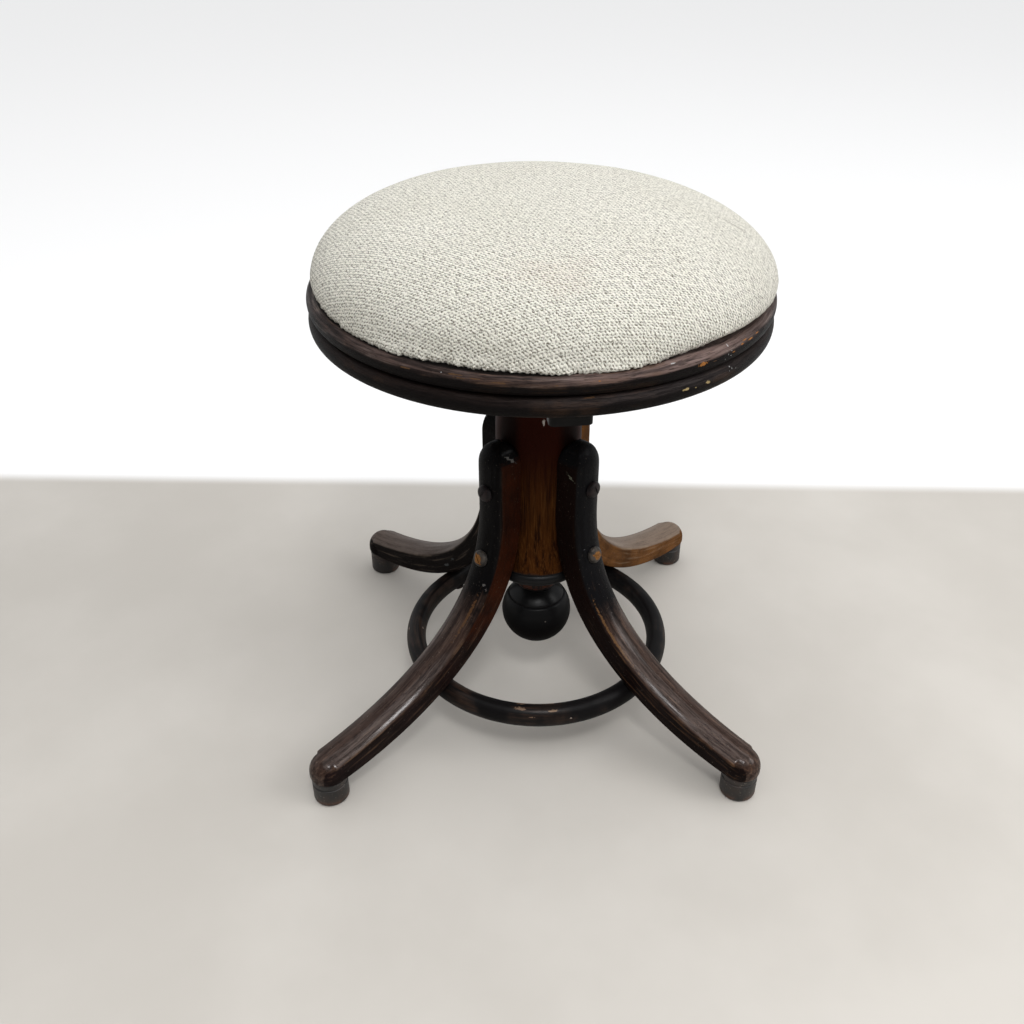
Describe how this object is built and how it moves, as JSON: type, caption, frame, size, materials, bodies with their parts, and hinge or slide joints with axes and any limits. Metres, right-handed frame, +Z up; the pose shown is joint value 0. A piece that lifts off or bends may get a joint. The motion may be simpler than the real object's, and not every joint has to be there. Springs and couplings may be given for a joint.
{
  "type": "revolving piano stool",
  "caption": "Round revolving stool with a padded cloth seat in a bentwood rim, an iron screw spindle, a turned column, splayed bentwood legs, a tie hoop and turned feet.",
  "frame": {"origin": "on the floor, under the axis of the column and of the screw spindle", "axes": "+Z up along the spindle. The legs stand near the axes: -Y along the leg at the front left of the picture, +X along the one at its front right."},
  "size_m": [0.4998, 0.5089, 0.4673],
  "materials": {
    "woven_cloth": "coarse basket-woven cloth, matt, lightly stained",
    "plywood": "raw plywood, unfinished",
    "rim_wood": "near-black brown lacquer over bent beech, chipped along its edges",
    "leg_wood": "dark brown lacquer over bent beech, rubbed to brown on its faces and to tan on its edges",
    "pale_leg_wood": "dark lacquer worn through to golden brown beech",
    "column_wood": "warm brown lacquer over turned beech, upright grain",
    "black_wood": "black lacquer, satin, rubbed",
    "dark_iron": "dark oiled iron",
    "rusty_iron": "dark steel with brown rust",
    "leather": "oiled brown leather"
  },
  "bodies": {
    "base": {"column": "column_wood", "spindle_nut": "dark_iron", "nut_screw_1": "rusty_iron", "nut_screw_2": "rusty_iron", "nut_screw_3": "rusty_iron", "hoop": "black_wood", "leg_front": "leg_wood", "foot_front": "black_wood", "leg_screw_upper_front": "rusty_iron", "leg_screw_lower_front": "rusty_iron", "hoop_screw_front": "rusty_iron", "leg_right": "leg_wood", "foot_right": "black_wood", "leg_screw_upper_right": "rusty_iron", "leg_screw_lower_right": "rusty_iron", "hoop_screw_right": "rusty_iron", "leg_back": "pale_leg_wood", "foot_back": "black_wood", "leg_screw_upper_back": "rusty_iron", "leg_screw_lower_back": "rusty_iron", "hoop_screw_back": "rusty_iron", "leg_left": "leg_wood", "foot_left": "black_wood", "leg_screw_upper_left": "rusty_iron", "leg_screw_lower_left": "rusty_iron", "hoop_screw_left": "rusty_iron"},
    "washer": {"stop_washer": "leather"},
    "seat": {"seat_cushion": "woven_cloth", "seat_board": "plywood", "upper_rim_ring": "rim_wood", "lower_rim_ring": "rim_wood", "long_batten": "black_wood", "cross_batten": "black_wood", "spindle_flange": "dark_iron", "flange_pin": "dark_iron", "screw_spindle": "dark_iron", "rim_screw_1": "rusty_iron", "rim_screw_2": "rusty_iron", "rim_screw_3": "rusty_iron", "rim_screw_4": "rusty_iron", "flange_screw_1": "rusty_iron", "flange_screw_2": "rusty_iron", "flange_screw_3": "rusty_iron", "flange_screw_4": "rusty_iron"}
  },
  "joints": [
    {"name": "seat_turn", "type": "hinge", "parent": "base", "child": "washer", "pos_m": [0, 0, 0.3175], "axis": [0, 0, 1], "range_deg": [-900, 3960]},
    {"name": "seat_rise", "type": "slide", "parent": "washer", "child": "seat", "axis": [0, 0, 1], "range_m": [-0.0201, 0.0881]}
  ],
  "couplings": [
    {"joint": "seat_rise", "follows": "seat_turn", "m_per_rad": 0.0012732}
  ]
}
